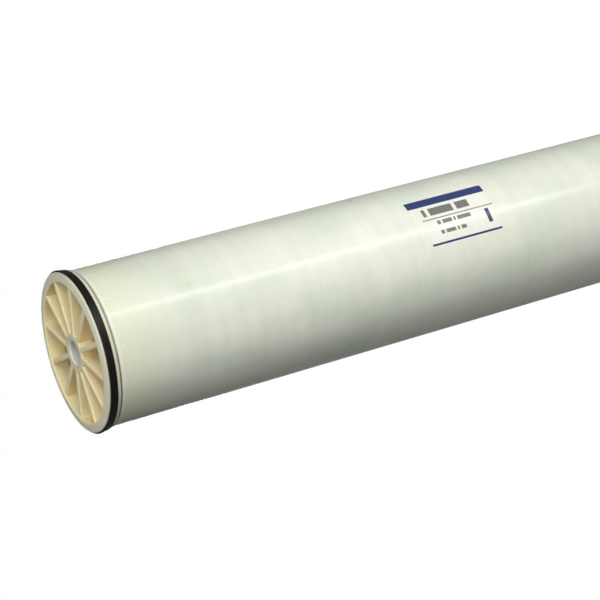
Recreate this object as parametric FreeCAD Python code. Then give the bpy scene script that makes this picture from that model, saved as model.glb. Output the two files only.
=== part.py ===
import FreeCAD, Part
import math
import os
from FreeCAD import Vector

# An eight-inch spiral-wound reverse-osmosis element. It stands on its outlet end, and +Z runs up its axis to the
# feed end. Millimetres. "Depth" is measured into the element from its end face, along the axis.

# Whole element
ELEMENT_LENGTH = 1016.0  # over the two end caps
GLUE_GAP = 0.1  # radial film of glue or resin between round faces that are bonded

# Product-water tube
TUBE_OUTSIDE_DIAMETER = 38.1
TUBE_BORE_DIAMETER = 28.6
TUBE_MOUTH_CHAMFER = 2.0
PORT_DIAMETER = 4.8  # holes that let the product water into the tube
PORT_STATIONS = 6  # cross-drilled stations, each turned a quarter from the last
PORT_MARGIN = 70.0  # from the end of the roll to the first and last station

# End cap, the same moulding at both ends
CAP_DIAMETER = 201.0
RIM_WIDTH = 12.2  # radial, from the outer edge to the wall of the pockets
RIM_LAND_WIDTH = 3.5  # flat ring that the element stands on
RIM_FACE_DROP = 1.5  # how far the face falls back between the land and the outer edge
RIM_EDGE_BEVEL = 0.7
FRONT_FLANGE_THICKNESS = 2.0
SEAL_GROOVE_WIDTH = 10.3
SEAL_GROOVE_DEPTH = 7.5
REAR_FLANGE_THICKNESS = 3.4
REAR_FLANGE_SETDOWN = 0.6  # radial, below the front flange
RIM_HEEL_LENGTH = 3.3  # from the back of the rear flange to the end of the roll
WEB_RECESS = 1.5  # hub, spokes and tube end lie this far behind the land
HUB_WALL = 5.8  # radial, round the tube
HUB_EDGE_BEVEL = 0.9
SPOKE_COUNT = 12
SPOKE_FRONT_THICKNESS = 7.2
SPOKE_DRAFT = 0.5  # each side, between the front edge and the roll
SPOKE_EDGE_RADIUS = 1.8
SPOKE_ROOTING = 2.5  # how far a spoke runs into the hub and the rim
SKIRT_LENGTH = 12.5  # thin sleeve of the cap that laps over the end of the roll
SKIRT_WALL = 1.8

# Fibreglass shell, wound over the roll and both skirts
SHELL_SETDOWN = 1.5  # radial, below the front flanges of the caps
SHELL_WALL = 2.0  # over the skirts; it is thicker over the roll
SHELL_SETBACK = 3.3  # bare neck of the cap between its rear flange and the shell
SHELL_EDGE_BEVEL = 1.1

# Membrane roll
TURN_PITCH = 9.0
TURN_GAP = 1.6  # feed channel between two turns, open at the ends of the roll
TURN_GAP_DEPTH = 2.5
ROLL_CORE_MARGIN = 2.5  # solid winding left round the tube before the first turn's gap

# Brine seal, a U-cup that opens towards the feed
SEAL_LIP_PROUD = 2.2  # radial, beyond the front flange
SEAL_HEEL_PROUD = 0.8
SEAL_SIDE_CLEARANCE = 0.2  # to each wall of its groove
SEAL_LEG_THICKNESS = 2.4
SEAL_BASE_THICKNESS = 3.6
SEAL_EDGE_BEVEL = 0.8

# Worked out from the sizes above
cap_radius = CAP_DIAMETER / 2
pocket_radius = cap_radius - RIM_WIDTH
groove_radius = cap_radius - SEAL_GROOVE_DEPTH
groove_start = RIM_FACE_DROP + FRONT_FLANGE_THICKNESS
groove_end = groove_start + SEAL_GROOVE_WIDTH
rear_flange_end = groove_end + REAR_FLANGE_THICKNESS
pocket_depth = rear_flange_end + RIM_HEEL_LENGTH
shell_start = rear_flange_end + SHELL_SETBACK
skirt_end = pocket_depth + SKIRT_LENGTH
tube_radius = TUBE_OUTSIDE_DIAMETER / 2
hub_bore_radius = tube_radius + GLUE_GAP
hub_radius = tube_radius + HUB_WALL
shell_radius = cap_radius - SHELL_SETDOWN
skirt_radius = shell_radius - SHELL_WALL - GLUE_GAP
skirt_bore_radius = skirt_radius - SKIRT_WALL
roll_radius = skirt_bore_radius - GLUE_GAP
roll_length = ELEMENT_LENGTH - 2 * pocket_depth
tube_length = ELEMENT_LENGTH - 2 * WEB_RECESS


def outline(corners, rounded=False):
    """Closed wire in the XZ plane through (radius, height, size) corners.

    A size of 0 leaves the corner sharp. Otherwise the corner is cut back by that much along both sides, or rounded
    with that radius.
    """
    points = [Vector(x, 0, z) for x, z, _ in corners]
    starts, ends, joins = [], [], {}
    for i, (_, _, size) in enumerate(corners):
        here = points[i]
        back = (points[i - 1] - here).normalize()
        ahead = (points[(i + 1) % len(points)] - here).normalize()
        half = back.getAngle(ahead) / 2
        along = size / math.tan(half) if rounded else size
        start = here + back * along
        end = here + ahead * along
        if size > 0 and rounded:
            middle = here + (back + ahead).normalize() * (size / math.sin(half) - size)
            joins[i] = Part.Arc(start, middle, end).toShape()
        elif size > 0:
            joins[i] = Part.LineSegment(start, end).toShape()
        starts.append(start)
        ends.append(end)
    loop = []
    for i in range(len(points)):
        if i in joins:
            loop.append(joins[i])
        following = (i + 1) % len(points)
        loop.append(Part.LineSegment(ends[i], starts[following]).toShape())
    return Part.Wire(loop)


def turned(corners):
    """Solid of revolution about Z from an outline in radius and height."""
    return Part.Face(outline(corners)).revolve(Vector(0, 0, 0), Vector(0, 0, 1), 360)


def at_feed_end(shape):
    """Turns a shape made for the outlet end, at the bottom, over to the feed end, at the top."""
    placed = shape.copy()
    placed.rotate(Vector(0, 0, 0), Vector(1, 0, 0), 180)
    placed.translate(Vector(0, 0, ELEMENT_LENGTH))
    return placed


def permeate_tube():
    """Product-water tube: plain bore with chamfered mouths, cross-drilled along the roll."""
    bore_radius = TUBE_BORE_DIAMETER / 2
    mouth_radius = bore_radius + TUBE_MOUTH_CHAMFER
    bottom = WEB_RECESS
    top = WEB_RECESS + tube_length
    tube = turned([
        (mouth_radius, bottom, 0),
        (tube_radius, bottom, 0),
        (tube_radius, top, 0),
        (mouth_radius, top, 0),
        (bore_radius, top - TUBE_MOUTH_CHAMFER, 0),
        (bore_radius, bottom + TUBE_MOUTH_CHAMFER, 0),
    ])
    first = pocket_depth + PORT_MARGIN
    pitch = (roll_length - 2 * PORT_MARGIN) / (PORT_STATIONS - 1)
    drills = []
    for station in range(PORT_STATIONS):
        drill = Part.makeCylinder(PORT_DIAMETER / 2, 4 * tube_radius, Vector(-2 * tube_radius, 0, 0), Vector(1, 0, 0))
        drill.rotate(Vector(0, 0, 0), Vector(0, 0, 1), 90 * (station % 2))
        drill.translate(Vector(0, 0, first + station * pitch))
        drills.append(drill)
    return tube.cut(drills)


def turn_gap():
    """Spiral channel between the turns, from semicircles whose radius grows by half the pitch each half turn."""
    step = TURN_PITCH / 2
    first_radius = tube_radius + ROLL_CORE_MARGIN
    half_turns = int((roll_radius - TURN_PITCH - first_radius) / step)
    inner, outer = [], []
    for n in range(half_turns):
        centre_x = step * (n % 2)
        radius = first_radius + n * step
        side = 1 if n % 2 == 0 else -1
        for wall, edge_radius in ((inner, radius), (outer, radius + TURN_GAP)):
            start = Vector(centre_x + side * edge_radius, 0, 0)
            middle = Vector(centre_x, side * edge_radius, 0)
            end = Vector(centre_x - side * edge_radius, 0, 0)
            wall.append(Part.Arc(start, middle, end).toShape())
    inner_start = inner[0].firstVertex().Point
    outer_start = outer[0].firstVertex().Point
    inner_end = inner[-1].lastVertex().Point
    outer_end = outer[-1].lastVertex().Point
    caps = [Part.LineSegment(inner_start, outer_start).toShape(), Part.LineSegment(inner_end, outer_end).toShape()]
    wire = Part.Wire(Part.__sortEdges__(inner + outer + caps))
    return Part.Face(wire).extrude(Vector(0, 0, TURN_GAP_DEPTH))


def membrane_roll():
    """Membrane leaves and feed spacer wound on the tube, as one roll with its turns showing at both ends."""
    top = ELEMENT_LENGTH - pocket_depth
    roll = turned([
        (hub_bore_radius, pocket_depth, 0),
        (roll_radius, pocket_depth, 0),
        (roll_radius, top, 0),
        (hub_bore_radius, top, 0),
    ])
    gap = turn_gap()
    gap.translate(Vector(0, 0, pocket_depth))
    return roll.cut([gap, at_feed_end(gap)])


def cap_rim():
    """Outer ring of an end cap: stepped face, seal groove between two flanges, neck and skirt."""
    land_radius = pocket_radius + RIM_LAND_WIDTH
    rear_flange_radius = cap_radius - REAR_FLANGE_SETDOWN
    return turned([
        (pocket_radius, 0, RIM_EDGE_BEVEL),
        (land_radius, 0, 0),
        (cap_radius, RIM_FACE_DROP, RIM_EDGE_BEVEL),
        (cap_radius, groove_start, 0),
        (groove_radius, groove_start, 0),
        (groove_radius, groove_end, 0),
        (rear_flange_radius, groove_end, 0),
        (rear_flange_radius, rear_flange_end, 0),
        (skirt_radius, rear_flange_end, 0),
        (skirt_radius, skirt_end, 0),
        (skirt_bore_radius, skirt_end, 0),
        (skirt_bore_radius, pocket_depth, 0),
        (pocket_radius, pocket_depth, 0),
    ])


def cap_hub():
    """Hub of an end cap, bonded round the tube and flush with its end."""
    return turned([
        (hub_bore_radius, WEB_RECESS, 0),
        (hub_radius, WEB_RECESS, HUB_EDGE_BEVEL),
        (hub_radius, pocket_depth, 0),
        (hub_bore_radius, pocket_depth, 0),
    ])


def cap_spoke():
    """One spoke along +X: a drafted section with a rounded front edge, rooted in the hub and the rim."""
    start = hub_radius - SPOKE_ROOTING
    end = pocket_radius + SPOKE_ROOTING
    front = SPOKE_FRONT_THICKNESS / 2
    root = front + SPOKE_DRAFT
    section = outline([
        (-front, WEB_RECESS, SPOKE_EDGE_RADIUS),
        (front, WEB_RECESS, SPOKE_EDGE_RADIUS),
        (root, pocket_depth, 0),
        (-root, pocket_depth, 0),
    ], rounded=True)
    spoke = Part.Face(section).extrude(Vector(0, end - start, 0))
    spoke.translate(Vector(0, start, 0))
    spoke.rotate(Vector(0, 0, 0), Vector(0, 0, 1), -90)
    return spoke


def end_cap():
    """Anti-telescoping end cap for the outlet end: rim, hub and spokes moulded in one."""
    spokes = []
    for n in range(SPOKE_COUNT):
        spoke = cap_spoke()
        spoke.rotate(Vector(0, 0, 0), Vector(0, 0, 1), 360 * n / SPOKE_COUNT)
        spokes.append(spoke)
    return cap_rim().fuse([cap_hub()] + spokes).removeSplitter()


def brine_seal():
    """Rubber U-cup in the groove: a leg on the groove's floor, and a lip that flares out towards the feed."""
    front = groove_start + SEAL_SIDE_CLEARANCE
    rear = groove_end - SEAL_SIDE_CLEARANCE
    floor_radius = groove_radius + GLUE_GAP
    lip_radius = cap_radius + SEAL_LIP_PROUD
    heel_radius = cap_radius + SEAL_HEEL_PROUD
    channel_floor = rear - SEAL_BASE_THICKNESS
    leg_radius = floor_radius + SEAL_LEG_THICKNESS
    return turned([
        (floor_radius, front, 0),
        (leg_radius, front, 0),
        (leg_radius, channel_floor, 0),
        (heel_radius - SEAL_LEG_THICKNESS, channel_floor, 0),
        (lip_radius - SEAL_LEG_THICKNESS, front, 0),
        (lip_radius, front, SEAL_EDGE_BEVEL),
        (heel_radius, rear, SEAL_EDGE_BEVEL),
        (floor_radius, rear, 0),
    ])


def fibreglass_shell():
    """Resin and glass shell wound over the roll and the skirts of both end caps."""
    top = ELEMENT_LENGTH - shell_start
    skirt_bore = skirt_radius + GLUE_GAP
    roll_bore = roll_radius + GLUE_GAP
    low_step = skirt_end + GLUE_GAP
    high_step = ELEMENT_LENGTH - low_step
    return turned([
        (skirt_bore, shell_start, 0),
        (shell_radius, shell_start, SHELL_EDGE_BEVEL),
        (shell_radius, top, SHELL_EDGE_BEVEL),
        (skirt_bore, top, 0),
        (skirt_bore, high_step, 0),
        (roll_bore, high_step, 0),
        (roll_bore, low_step, 0),
        (skirt_bore, low_step, 0),
    ])


def main():
    cap = end_cap()
    parts = {
        "permeate_tube": permeate_tube(),
        "membrane_roll": membrane_roll(),
        "feed_end_cap": at_feed_end(cap),
        "outlet_end_cap": cap,
        "brine_seal": at_feed_end(brine_seal()),
        "fibreglass_shell": fibreglass_shell(),
    }
    os.makedirs("parts", exist_ok=True)
    for name, shape in parts.items():
        solids = shape.Solids
        print(name, "solids", len(solids), "valid", shape.isValid(), "volume mm3", round(shape.Volume))
        shape = solids[0] if len(solids) == 1 else Part.Compound(solids)
        shape.exportStep(os.path.join("parts", name + ".step"))


main()
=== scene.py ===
import math

import bpy
import numpy as np
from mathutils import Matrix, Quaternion, Vector


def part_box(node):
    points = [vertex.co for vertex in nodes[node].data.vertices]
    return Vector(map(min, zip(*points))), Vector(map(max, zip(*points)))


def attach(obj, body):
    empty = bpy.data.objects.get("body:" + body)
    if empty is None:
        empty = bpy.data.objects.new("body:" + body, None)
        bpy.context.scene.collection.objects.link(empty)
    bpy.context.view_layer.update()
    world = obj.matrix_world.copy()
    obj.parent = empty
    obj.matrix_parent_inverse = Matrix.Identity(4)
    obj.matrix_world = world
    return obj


# An eight-inch spiral-wound reverse-osmosis element, standing on its outlet end: +Z runs up to the feed end.
# Metres. Colours are scene-linear.

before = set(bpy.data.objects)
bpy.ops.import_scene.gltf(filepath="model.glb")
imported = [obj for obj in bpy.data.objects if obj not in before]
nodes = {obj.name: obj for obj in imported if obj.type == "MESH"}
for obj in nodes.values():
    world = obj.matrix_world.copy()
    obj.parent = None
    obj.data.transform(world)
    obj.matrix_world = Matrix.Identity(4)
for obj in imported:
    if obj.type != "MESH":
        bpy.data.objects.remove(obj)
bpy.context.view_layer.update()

# Places read from the parts in model.glb
ELEMENT_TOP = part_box("feed_end_cap")[1].z
CAP_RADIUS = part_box("feed_end_cap")[1].x
SHELL_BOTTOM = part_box("fibreglass_shell")[0].z
SHELL_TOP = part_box("fibreglass_shell")[1].z
SHELL_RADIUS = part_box("fibreglass_shell")[1].x

# Camera
CAMERA_PLACE = Vector((-0.0798, -2.3105, 1.8000))
CAMERA_AZIMUTH = 1.694  # from +Y towards +X, degrees
CAMERA_DOWN = 25.381  # below the horizon
CAMERA_ROLL = -105.558  # about the line of sight
CAMERA_LENS_MM = 119.96
CAMERA_REACH = 100.0

# Label under the resin: a patch of the shell between two heights and two angles
LABEL_LOW, LABEL_HIGH = 0.4435, 0.5600
LABEL_FROM_DEG, LABEL_TO_DEG = -88.5, -46.5
LABEL_LIFT = 0.00012
# Printed fields as shares of the label: left, right, bottom, top
LABEL_NAVY_FIELDS = [(0.0, 1.0, 0.83, 1.0), (0.09, 1.0, 0.033, 0.072), (0.87, 0.92, 0.20, 0.47)]
LABEL_RULE = (0.09, 1.0, 0.520, 0.540)
# Rows of grey bars: a field, and how many cells the label's width is cut into; some cells stay empty
LABEL_BAR_ROWS = [
    ((0.13, 0.73, 0.60, 0.76), 23),
    ((0.25, 0.70, 0.40, 0.475), 41),
    ((0.25, 0.58, 0.215, 0.285), 41),
]
LABEL_EMPTY_CELLS = 0.2  # share of the cells
LABEL_PRINT_DEPTH = 0.85  # how far the grey print covers the film
LABEL_FILM_WHITENESS = 0.2

# Rings of the cap and the shell that differ in finish
RIM_INSIDE = CAP_RADIUS - 0.0122
SPOKE_STEP_DEG = 30.0
HUB_RADIUS = 0.0249
TRIMMED_EDGE = 0.0038  # ground strip at each end of the shell
# The neck is drawn darker with resin stain and painted shade
NECK_LENGTH = 0.0033  # bare neck of the cap beside the shell
YELLOWED_END = 0.09  # length over which the shell turns yellower towards each end
SHEET_PITCH = 0.0011  # from one sheet of the roll to the next

# Studio lights: angle round the element from the camera, angle above the horizon, distance, size, power
SIDE_LIGHTS = [
    ("key", 35.0, 22.0, 2.2, (1.2, 1.2), 21.0),
    ("front", 8.0, 22.0, 2.2, (1.2, 1.2), 14.0),
    ("back", 180.0, -7.0, 2.2, (1.2, 0.9), 22.0),
]
STRIP_ANGLE, STRIP_DISTANCE, STRIP_SIZE, STRIP_POWER = 35.0, 0.55, (0.06, 0.90), 1.3
TOP_PLACE, TOP_SIZE, TOP_POWER = Vector((0, -0.5, ELEMENT_TOP + 1.6)), (1.2, 1.2), 11.0
LIT_HEIGHT = ELEMENT_TOP * 0.7  # height on the axis that the side lights point at
WORLD_STRENGTH = 0.08
BACKGROUND_GLOW = 1.1  # how bright the floor and the world look to the camera
FLOOR_SIZE = 60.0
FLOOR_GREY = (0.5, 0.5, 0.5)
FLOOR_GLOW_SHARE = 0.9

# Finishes
CAP_CREAM = (0.90, 0.77, 0.47)
CAP_LILAC = (0.72, 0.63, 0.50)
CAP_PALE = (0.82, 0.76, 0.57)
# Resin stain with painted shade, for the neck's recess beside the shell and the knit lines' flanks
RESIN_STAIN_AND_PAINTED_SHADE = (0.34, 0.33, 0.22)
TUBE_WHITE = (0.74, 0.72, 0.62)
SEAL_BLACK = (0.006, 0.005, 0.004)
SHELL_PALE = (0.80, 0.80, 0.70)
SHELL_GREEN = (0.68, 0.76, 0.63)
SHELL_SHADE = (0.62, 0.62, 0.50)
SHELL_YELLOW = (0.78, 0.80, 0.58)
SHELL_WHITE = (0.90, 0.90, 0.84)
ROLL_STRAW = (0.55, 0.43, 0.19)
ROLL_BROWN = (0.26, 0.19, 0.07)
LABEL_NAVY = (0.022, 0.042, 0.145)
LABEL_GREY = (0.06, 0.06, 0.065)


# ---------------------------------------------------------------- nodes

class Graph:
    """A node tree with short calls to add and link nodes; an input takes a value or another node's output."""

    def __init__(self, tree):
        self.tree = tree

    def add(self, kind, inputs=None, **settings):
        node = self.tree.nodes.new(kind)
        for name, value in settings.items():
            setattr(node, name, value)
        for key, value in (inputs or {}).items():
            self.put(node.inputs[key], value)
        return node

    def put(self, socket, value):
        if isinstance(value, bpy.types.NodeSocket):
            self.tree.links.new(value, socket)
        elif socket.type == "RGBA" and len(value) == 3:
            socket.default_value = (*value, 1.0)
        else:
            socket.default_value = value

    def math(self, operation, a, b=0.0):
        return self.add("ShaderNodeMath", {0: a, 1: b}, operation=operation).outputs[0]

    def mix(self, factor, a, b):
        """Blend of two colours; the mix node keeps its colour sockets at 6, 7 and, for its output, 2."""
        node = self.add("ShaderNodeMix", data_type="RGBA")
        self.put(node.inputs[0], factor)
        self.put(node.inputs[6], a)
        self.put(node.inputs[7], b)
        return node.outputs[2]

    def remap(self, value, low, high, to_low=0.0, to_high=1.0):
        """Straight ramp from low to high, level beyond both."""
        return self.add("ShaderNodeMapRange", {0: value, 1: low, 2: high, 3: to_low, 4: to_high}).outputs[0]

    def noise(self, vector, scale, detail=2.0, roughness=0.5):
        inputs = {"Vector": vector, "Scale": scale, "Detail": detail, "Roughness": roughness}
        return self.add("ShaderNodeTexNoise", inputs).outputs[0]

    def scaled(self, vector, scale):
        return self.add("ShaderNodeMapping", {"Vector": vector, "Scale": scale}).outputs[0]

    def xyz(self, vector):
        return self.add("ShaderNodeSeparateXYZ", {0: vector}).outputs


def new_group(name, inputs, outputs):
    """An empty node group with float or vector sockets; returns its graph and its two end nodes."""
    tree = bpy.data.node_groups.new(name, "ShaderNodeTree")
    for label, kind, value in inputs:
        socket = tree.interface.new_socket(label, in_out="INPUT", socket_type=kind)
        if value is not None:
            socket.default_value = value
    for label, kind in outputs:
        tree.interface.new_socket(label, in_out="OUTPUT", socket_type=kind)
    graph = Graph(tree)
    return graph, graph.add("NodeGroupInput"), graph.add("NodeGroupOutput")


FLOAT, VECTOR, COLOUR = "NodeSocketFloat", "NodeSocketVector", "NodeSocketColor"


def round_coordinates_group():
    """Object coordinates as radius, turns round the axis (0 to 1) and height."""
    g, given, out = new_group(
        "round coordinates",
        [("Point", VECTOR, None)],
        [("Radius", FLOAT), ("Turns", FLOAT), ("Height", FLOAT)],
    )
    x, y, z = g.xyz(given.outputs["Point"])
    radius = g.math("SQRT", g.math("ADD", g.math("MULTIPLY", x, x), g.math("MULTIPLY", y, y)))
    turns = g.math("ADD", g.math("DIVIDE", g.math("ARCTAN2", y, x), 2 * math.pi), 0.5)
    g.put(out.inputs["Radius"], radius)
    g.put(out.inputs["Turns"], turns)
    g.put(out.inputs["Height"], z)
    return g.tree


def moulded_group():
    """Skin of a moulded piece: a slow waviness, a fine grain, and a cloudy mask for colour and gloss."""
    g, given, out = new_group(
        "moulded skin",
        [("Point", VECTOR, None), ("Grain", FLOAT, 900.0), ("Waviness", FLOAT, 0.5)],
        [("Relief", FLOAT), ("Clouds", FLOAT)],
    )
    point = given.outputs["Point"]
    waves = g.noise(point, 40.0, 1.0)
    grain = g.noise(point, given.outputs["Grain"], 2.0)
    clouds = g.noise(point, 22.0, 3.0, 0.6)
    wavy = g.math("MULTIPLY", waves, given.outputs["Waviness"])
    relief = g.math("ADD", wavy, g.math("MULTIPLY", grain, 0.12))
    g.put(out.inputs["Relief"], relief)
    g.put(out.inputs["Clouds"], clouds)
    return g.tree


def handling_group():
    """Faint smears and rubbed spots, as a mask: broken noise, drawn out along the axis."""
    g, given, out = new_group(
        "handling marks",
        [("Point", VECTOR, None), ("Amount", FLOAT, 0.5)],
        [("Marks", FLOAT)],
    )
    point = given.outputs["Point"]
    smears = g.noise(g.scaled(point, (14.0, 14.0, 3.0)), 1.0, 4.0, 0.65)
    spots = g.noise(point, 160.0, 2.0, 0.7)
    marks = g.math("MULTIPLY", g.remap(smears, 0.5, 0.75), g.remap(spots, 0.35, 0.7))
    g.put(out.inputs["Marks"], g.math("MULTIPLY", marks, given.outputs["Amount"]))
    return g.tree


def wound_glass_group():
    """Colour and relief of resin over wound glass.

    Pale green clouds, faint hoops and tows round the shell, yellower ends with bubbles in the resin, and a
    light ground strip at each edge.
    """
    g, given, out = new_group(
        "wound glass",
        [("Point", VECTOR, None)],
        [("Colour", COLOUR), ("Relief", FLOAT), ("Tone", FLOAT)],
    )
    point = given.outputs["Point"]
    height = g.xyz(point)[2]
    hoops = g.noise(g.scaled(point, (5.0, 5.0, 240.0)), 1.0, 3.0, 0.6)
    tows = g.noise(g.scaled(point, (2.0, 2.0, 42.0)), 1.0, 2.0, 0.5)
    clouds = g.noise(g.scaled(point, (14.0, 14.0, 7.0)), 1.0, 3.0, 0.55)
    winding = g.math("MULTIPLY", g.math("ADD", hoops, tows), 0.2)
    tone = g.math("ADD", winding, g.math("MULTIPLY", clouds, 0.6))
    colour = g.mix(g.remap(clouds, 0.38, 0.56), SHELL_GREEN, SHELL_PALE)
    streaks = g.math("ADD", g.math("MULTIPLY", hoops, 0.4), g.math("MULTIPLY", tows, 0.6))
    colour = g.mix(g.remap(streaks, 0.35, 0.65, 0.30, 0.0), colour, SHELL_SHADE)
    low = g.remap(height, SHELL_BOTTOM, SHELL_BOTTOM + YELLOWED_END, 1.0, 0.0)
    high = g.remap(height, SHELL_TOP - YELLOWED_END, SHELL_TOP, 0.0, 1.0)
    near_end = g.math("MAXIMUM", low, high)
    colour = g.mix(g.math("MULTIPLY", near_end, 0.75), colour, SHELL_YELLOW)
    bubbles = g.noise(g.scaled(point, (300.0, 300.0, 90.0)), 1.0, 1.0)
    specks = g.math("MULTIPLY", g.remap(bubbles, 0.66, 0.72), g.remap(near_end, 0.55, 0.95))
    low_edge = g.math("LESS_THAN", height, SHELL_BOTTOM + TRIMMED_EDGE)
    high_edge = g.math("GREATER_THAN", height, SHELL_TOP - TRIMMED_EDGE)
    edge = g.math("MAXIMUM", low_edge, high_edge)
    light = g.math("MAXIMUM", g.math("MULTIPLY", specks, 0.8), g.math("MULTIPLY", edge, 0.6))
    g.put(out.inputs["Colour"], g.mix(light, colour, SHELL_WHITE))
    wound = g.math("ADD", g.math("MULTIPLY", hoops, 0.3), g.math("MULTIPLY", tows, 0.5))
    ends = g.math("ADD", g.math("MULTIPLY", specks, 0.6), g.math("MULTIPLY", edge, 0.7))
    g.put(out.inputs["Relief"], g.math("ADD", wound, ends))
    g.put(out.inputs["Tone"], tone)
    return g.tree


GROUPS = {}  # the shared node groups by a short name, filled by main()


def use_group(g, name, inputs):
    """Puts a shared group into a material with its own values."""
    node = g.add("ShaderNodeGroup", node_tree=GROUPS[name])
    for key, value in inputs.items():
        g.put(node.inputs[key], value)
    return node.outputs


def new_material(name):
    """A material with one Principled BSDF; returns its graph, shader and object coordinates."""
    material = bpy.data.materials.new(name)
    material.use_nodes = True
    material.node_tree.nodes.clear()
    g = Graph(material.node_tree)
    shader = g.add("ShaderNodeBsdfPrincipled")
    g.add("ShaderNodeOutputMaterial", {"Surface": shader.outputs[0]})
    point = g.add("ShaderNodeTexCoord").outputs["Object"]
    return material, g, shader, point


def shade(colour, factor):
    """The same colour, darker or lighter, up to full white."""
    return tuple(min(1.0, channel * factor) for channel in colour)


def bump(g, height, strength, distance):
    inputs = {"Height": height, "Strength": strength, "Distance": distance}
    return g.add("ShaderNodeBump", inputs).outputs[0]


def cap_plastic():
    """Cream moulded plastic.

    Greyer on the rim and the hub, a cream knit line with painted shade on its flanks across the rim at each
    spoke, and necks stained by resin and darkened with painted shade beside the shell.
    """
    material, g, shader, point = new_material("cream moulded plastic")
    skin = use_group(g, "moulded", {"Point": point, "Grain": 1100.0, "Waviness": 0.5})
    marks = use_group(g, "handling", {"Point": point, "Amount": 0.5})["Marks"]
    where = use_group(g, "round", {"Point": point})
    radius = where["Radius"]
    rim = g.remap(radius, RIM_INSIDE, RIM_INSIDE + 0.0008)
    hub = g.remap(radius, HUB_RADIUS - 0.0006, HUB_RADIUS, 1.0, 0.0)
    cream = g.mix(skin["Clouds"], shade(CAP_CREAM, 0.94), shade(CAP_CREAM, 1.06))
    colour = g.mix(g.math("MAXIMUM", rim, g.math("MULTIPLY", hub, 0.5)), cream, CAP_PALE)
    step = g.math("MULTIPLY", where["Turns"], 360.0 / SPOKE_STEP_DEG)
    off_line = g.math("MULTIPLY", g.math("PINGPONG", step, 0.5), radius)
    knit = g.math("MULTIPLY", g.remap(off_line, 0.0009, 0.0015, 1.0, 0.0), rim)
    painted_flank_shade = g.math("MULTIPLY", g.remap(off_line, 0.0016, 0.0024, 1.0, 0.0), rim)
    broad = g.remap(g.noise(point, 16.0, 1.0), 0.35, 0.65)
    colour = g.mix(g.math("MULTIPLY", g.math("MULTIPLY", rim, broad), 0.5), colour, CAP_LILAC)
    # Painted shade: a darker band on both flanks of each knit line
    colour = g.mix(g.math("MULTIPLY", g.math("SUBTRACT", painted_flank_shade, knit), 0.25), colour, RESIN_STAIN_AND_PAINTED_SHADE)
    colour = g.mix(g.math("MULTIPLY", knit, 0.75), colour, CAP_CREAM)
    middle = g.math("ABSOLUTE", g.math("SUBTRACT", where["Height"], ELEMENT_TOP / 2))
    neck = g.math("LESS_THAN", middle, (SHELL_TOP - SHELL_BOTTOM) / 2 + NECK_LENGTH)
    # Resin stain and painted shade: the neck's recess beside the shell drawn darker
    colour = g.mix(g.math("MULTIPLY", neck, rim), colour, RESIN_STAIN_AND_PAINTED_SHADE)
    g.put(shader.inputs["Base Color"], colour)
    g.put(shader.inputs["Roughness"], g.math("ADD", g.remap(skin["Clouds"], 0.3, 0.7, 0.32, 0.42), marks))
    relief = g.math("SUBTRACT", skin["Relief"], g.math("MULTIPLY", knit, 0.6))
    g.put(shader.inputs["Normal"], bump(g, relief, 0.25, 0.0004))
    shader.inputs["Subsurface Weight"].default_value = 0.45
    shader.inputs["Subsurface Radius"].default_value = (1.0, 0.55, 0.25)
    shader.inputs["Subsurface Scale"].default_value = 0.010
    return material


def tube_plastic():
    """Grey-white moulded plastic of the product-water tube."""
    material, g, shader, point = new_material("tube plastic")
    skin = use_group(g, "moulded", {"Point": point, "Grain": 1500.0, "Waviness": 0.3})
    g.put(shader.inputs["Base Color"], g.mix(skin["Clouds"], shade(TUBE_WHITE, 0.9), TUBE_WHITE))
    g.put(shader.inputs["Roughness"], g.remap(skin["Clouds"], 0.3, 0.7, 0.26, 0.36))
    g.put(shader.inputs["Normal"], bump(g, skin["Relief"], 0.2, 0.0003))
    return material


def seal_rubber():
    """Black rubber with a moulded sheen and a trace of dust."""
    material, g, shader, point = new_material("black seal rubber")
    skin = use_group(g, "moulded", {"Point": point, "Grain": 700.0, "Waviness": 0.8})
    marks = use_group(g, "handling", {"Point": point, "Amount": 0.25})["Marks"]
    g.put(shader.inputs["Base Color"], g.mix(marks, SEAL_BLACK, shade(SEAL_BLACK, 6.0)))
    g.put(shader.inputs["Roughness"], g.remap(skin["Clouds"], 0.3, 0.7, 0.36, 0.5))
    g.put(shader.inputs["Normal"], bump(g, skin["Relief"], 0.3, 0.0004))
    shader.inputs["Specular IOR Level"].default_value = 0.3
    return material


def membrane():
    """The roll's end: sheet edges as fine spiral lines between straw and brown."""
    material, g, shader, point = new_material("wound membrane")
    where = use_group(g, "round", {"Point": point})
    phase = g.math("ADD", g.math("DIVIDE", where["Radius"], SHEET_PITCH), where["Turns"])
    wobble = g.math("MULTIPLY", g.noise(point, 60.0, 2.0), 1.2)
    line = g.math("SINE", g.math("MULTIPLY", g.math("ADD", phase, wobble), 2 * math.pi))
    band = g.noise(g.scaled(point, (90.0, 90.0, 6.0)), 1.0, 3.0)
    edge = g.remap(line, -1.0, 1.0)
    straw = g.mix(band, ROLL_STRAW, shade(ROLL_STRAW, 0.8))
    g.put(shader.inputs["Base Color"], g.mix(g.math("MULTIPLY", edge, 0.55), straw, ROLL_BROWN))
    shader.inputs["Roughness"].default_value = 0.75
    g.put(shader.inputs["Normal"], bump(g, edge, 0.5, 0.0005))
    return material


def finish_glass(g, shader, glass):
    """Gloss and relief that the bare shell and its label share."""
    g.put(shader.inputs["Roughness"], g.remap(glass["Tone"], 0.35, 0.65, 0.26, 0.40))
    g.put(shader.inputs["Normal"], bump(g, glass["Relief"], 0.3, 0.0003))
    shader.inputs["Specular IOR Level"].default_value = 0.4
    shader.inputs["Coat Weight"].default_value = 0.25
    shader.inputs["Coat Roughness"].default_value = 0.12


def fibreglass():
    """Glossy resin over wound glass."""
    material, g, shader, point = new_material("resin and wound glass")
    glass = use_group(g, "glass", {"Point": point})
    g.put(shader.inputs["Base Color"], glass["Colour"])
    finish_glass(g, shader, glass)
    return material


# ---------------------------------------------------------------- meshes

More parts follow.
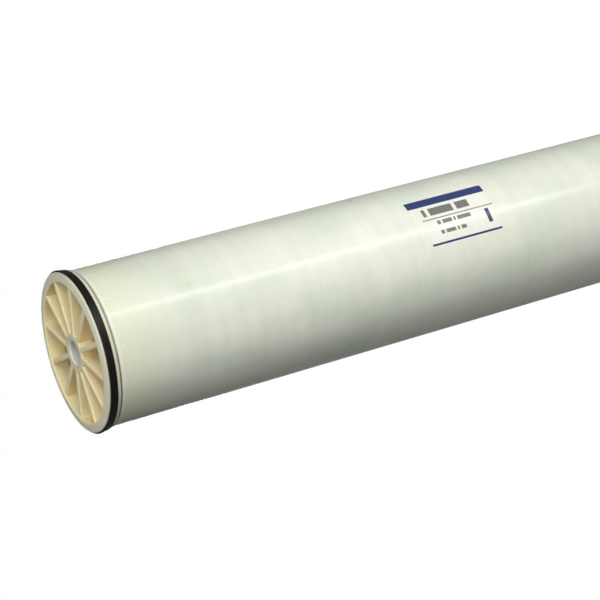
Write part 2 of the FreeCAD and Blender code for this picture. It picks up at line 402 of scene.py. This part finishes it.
def grid_mesh(name, points, uv=None):
    """Mesh from an array of points in rows and columns; each four neighbours make a face."""
    rows, columns = points.shape[:2]
    index = np.arange(rows * columns).reshape(rows, columns)
    quads = np.stack([index[:-1, :-1], index[:-1, 1:], index[1:, 1:], index[1:, :-1]], -1).reshape(-1, 4)
    mesh = bpy.data.meshes.new(name)
    mesh.from_pydata(points.reshape(-1, 3).tolist(), [], quads.tolist())
    if uv is not None:
        layer = mesh.uv_layers.new(name="sheet")
        layer.data.foreach_set("uv", uv.reshape(-1, 2)[quads.reshape(-1)].astype(np.float32).ravel())
    mesh.polygons.foreach_set("use_smooth", np.ones(len(mesh.polygons), bool))
    mesh.update()
    piece = bpy.data.objects.new(name, mesh)
    bpy.context.scene.collection.objects.link(piece)
    return piece


def box_mask(g, u, v, field):
    """1 inside a field of u and v, 0 outside."""
    left, right, bottom, top = field
    inside_u = g.math("MULTIPLY", g.math("GREATER_THAN", u, left), g.math("LESS_THAN", u, right))
    inside_v = g.math("MULTIPLY", g.math("GREATER_THAN", v, bottom), g.math("LESS_THAN", v, top))
    return g.math("MULTIPLY", inside_u, inside_v)


def label_material():
    """Printed film under the resin: a navy bar, rules and broken grey bars for text, with no lettering."""
    material, g, shader, point = new_material("printed label")
    glass = use_group(g, "glass", {"Point": point})
    u, v, _ = g.xyz(g.add("ShaderNodeUVMap", uv_map="sheet").outputs[0])
    colour = g.mix(LABEL_FILM_WHITENESS, glass["Colour"], SHELL_WHITE)
    for field in LABEL_NAVY_FIELDS:
        colour = g.mix(box_mask(g, u, v, field), colour, LABEL_NAVY)
    rule = g.math("MULTIPLY", box_mask(g, u, v, LABEL_RULE), LABEL_PRINT_DEPTH)
    colour = g.mix(rule, colour, LABEL_GREY)
    for field, cells in LABEL_BAR_ROWS:
        cell = g.math("FLOOR", g.math("MULTIPLY", u, cells))
        drawn = g.add("ShaderNodeTexWhiteNoise", {"W": cell}, noise_dimensions="1D").outputs[0]
        filled = g.math("GREATER_THAN", drawn, LABEL_EMPTY_CELLS)
        bars = g.math("MULTIPLY", box_mask(g, u, v, field), filled)
        colour = g.mix(g.math("MULTIPLY", bars, LABEL_PRINT_DEPTH), colour, LABEL_GREY)
    g.put(shader.inputs["Base Color"], colour)
    finish_glass(g, shader, glass)
    return material


def printed_label():
    """Patch of a cylinder just proud of the shell: u runs down the axis, v round it."""
    u, v = np.meshgrid(np.linspace(0, 1, 25), np.linspace(0, 1, 33))
    angle = np.radians(LABEL_FROM_DEG + (LABEL_TO_DEG - LABEL_FROM_DEG) * v)
    radius = SHELL_RADIUS + LABEL_LIFT
    height = LABEL_HIGH + (LABEL_LOW - LABEL_HIGH) * u
    points = np.stack([radius * np.cos(angle), radius * np.sin(angle), height], -1)
    piece = grid_mesh("printed_label", points[::-1], np.stack([u, v], -1)[::-1])
    piece.data.materials.append(label_material())
    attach(piece, "root")
    return piece


# ---------------------------------------------------------------- studio

def aim(piece, place, target):
    """Puts a lamp at a place with its -Z axis towards the target."""
    piece.location = place
    piece.rotation_mode = "QUATERNION"
    piece.rotation_quaternion = (target - place).to_track_quat("-Z", "Y")


def soft_light(name, place, target, size, power):
    """Rectangular soft box at a place, turned to its target."""
    light = bpy.data.lights.new(name, "AREA")
    light.shape = "RECTANGLE"
    light.size, light.size_y = size
    light.energy = power
    lamp = bpy.data.objects.new(name, light)
    bpy.context.scene.collection.objects.link(lamp)
    aim(lamp, place, target)
    return lamp


def studio_floor():
    """Plain pale floor that looks evenly white to the camera and still takes light as a grey one."""
    material, g, shader, _ = new_material("studio floor")
    g.put(shader.inputs["Base Color"], FLOOR_GREY)
    shader.inputs["Roughness"].default_value = 0.9
    bpy.ops.mesh.primitive_plane_add(size=FLOOR_SIZE)
    floor = bpy.context.object
    floor.name = "studio_floor"
    glow = g.add("ShaderNodeEmission", {"Color": (1, 1, 1), "Strength": BACKGROUND_GLOW})
    seen = g.add("ShaderNodeLightPath").outputs["Is Camera Ray"]
    share = g.math("MULTIPLY", seen, FLOOR_GLOW_SHARE)
    blend = g.add("ShaderNodeMixShader", {0: share, 1: shader.outputs[0], 2: glow.outputs[0]})
    for node in g.tree.nodes:
        if node.type == "OUTPUT_MATERIAL":
            g.put(node.inputs["Surface"], blend.outputs[0])
    floor.data.materials.append(material)
    return floor


def camera():
    """The camera, set by its place, its direction and its roll about the line of sight."""
    data = bpy.data.cameras.new("camera")
    data.lens = CAMERA_LENS_MM
    data.sensor_width = 36.0
    view = bpy.data.objects.new("camera", data)
    bpy.context.scene.collection.objects.link(view)
    azimuth, down = math.radians(CAMERA_AZIMUTH), math.radians(CAMERA_DOWN)
    look = Vector((math.sin(azimuth) * math.cos(down), math.cos(azimuth) * math.cos(down), -math.sin(down)))
    view.location = CAMERA_PLACE
    view.rotation_mode = "QUATERNION"
    roll = Quaternion((0, 0, 1), math.radians(CAMERA_ROLL))
    view.rotation_quaternion = look.to_track_quat("-Z", "Y") @ roll
    data.clip_end = CAMERA_REACH
    bpy.context.scene.camera = view


def lights():
    """Soft boxes round the element, a strip for the shell's long highlight, and a box above."""
    middle = Vector((0, 0, LIT_HEIGHT))
    camera_side = math.atan2(CAMERA_PLACE.y, CAMERA_PLACE.x)
    for name, turn, rise, distance, size, power in SIDE_LIGHTS:
        angle, rise = camera_side + math.radians(turn), math.radians(rise)
        away = Vector((math.cos(angle) * math.cos(rise), math.sin(angle) * math.cos(rise), math.sin(rise)))
        soft_light(name, middle + away * distance, middle, size, power)
    angle = camera_side + math.radians(STRIP_ANGLE)
    place = Vector((math.cos(angle) * STRIP_DISTANCE, math.sin(angle) * STRIP_DISTANCE, STRIP_SIZE[1] / 2))
    strip = soft_light("strip", place, Vector((0, 0, place.z)), STRIP_SIZE, STRIP_POWER)
    strip.visible_camera = False
    soft_light("top", TOP_PLACE, Vector((0, 0, ELEMENT_TOP)), TOP_SIZE, TOP_POWER)


def surroundings():
    """A world that lights the element dimly and looks white to the camera."""
    world = bpy.data.worlds.new("studio")
    world.use_nodes = True
    sky = Graph(world.node_tree)
    seen = sky.add("ShaderNodeLightPath").outputs["Is Camera Ray"]
    for node in world.node_tree.nodes:
        if node.type == "BACKGROUND":
            sky.put(node.inputs["Color"], (1, 1, 1))
            sky.put(node.inputs["Strength"], sky.remap(seen, 0.0, 1.0, WORLD_STRENGTH, BACKGROUND_GLOW))
    bpy.context.scene.world = world


def dress(node, material):
    """Puts a finish on every material slot of a CAD node."""
    piece = nodes[node]
    for slot in range(len(piece.data.materials)):
        piece.data.materials[slot] = material
    if not piece.data.materials:
        piece.data.materials.append(material)


def main():
    bpy.context.scene.view_settings.view_transform = "Standard"
    GROUPS["round"] = round_coordinates_group()
    GROUPS["moulded"] = moulded_group()
    GROUPS["handling"] = handling_group()
    GROUPS["glass"] = wound_glass_group()
    caps = cap_plastic()
    dress("feed_end_cap", caps)
    dress("outlet_end_cap", caps)
    dress("permeate_tube", tube_plastic())
    dress("brine_seal", seal_rubber())
    dress("membrane_roll", membrane())
    dress("fibreglass_shell", fibreglass())
    printed_label()
    studio_floor()
    camera()
    lights()
    surroundings()


main()
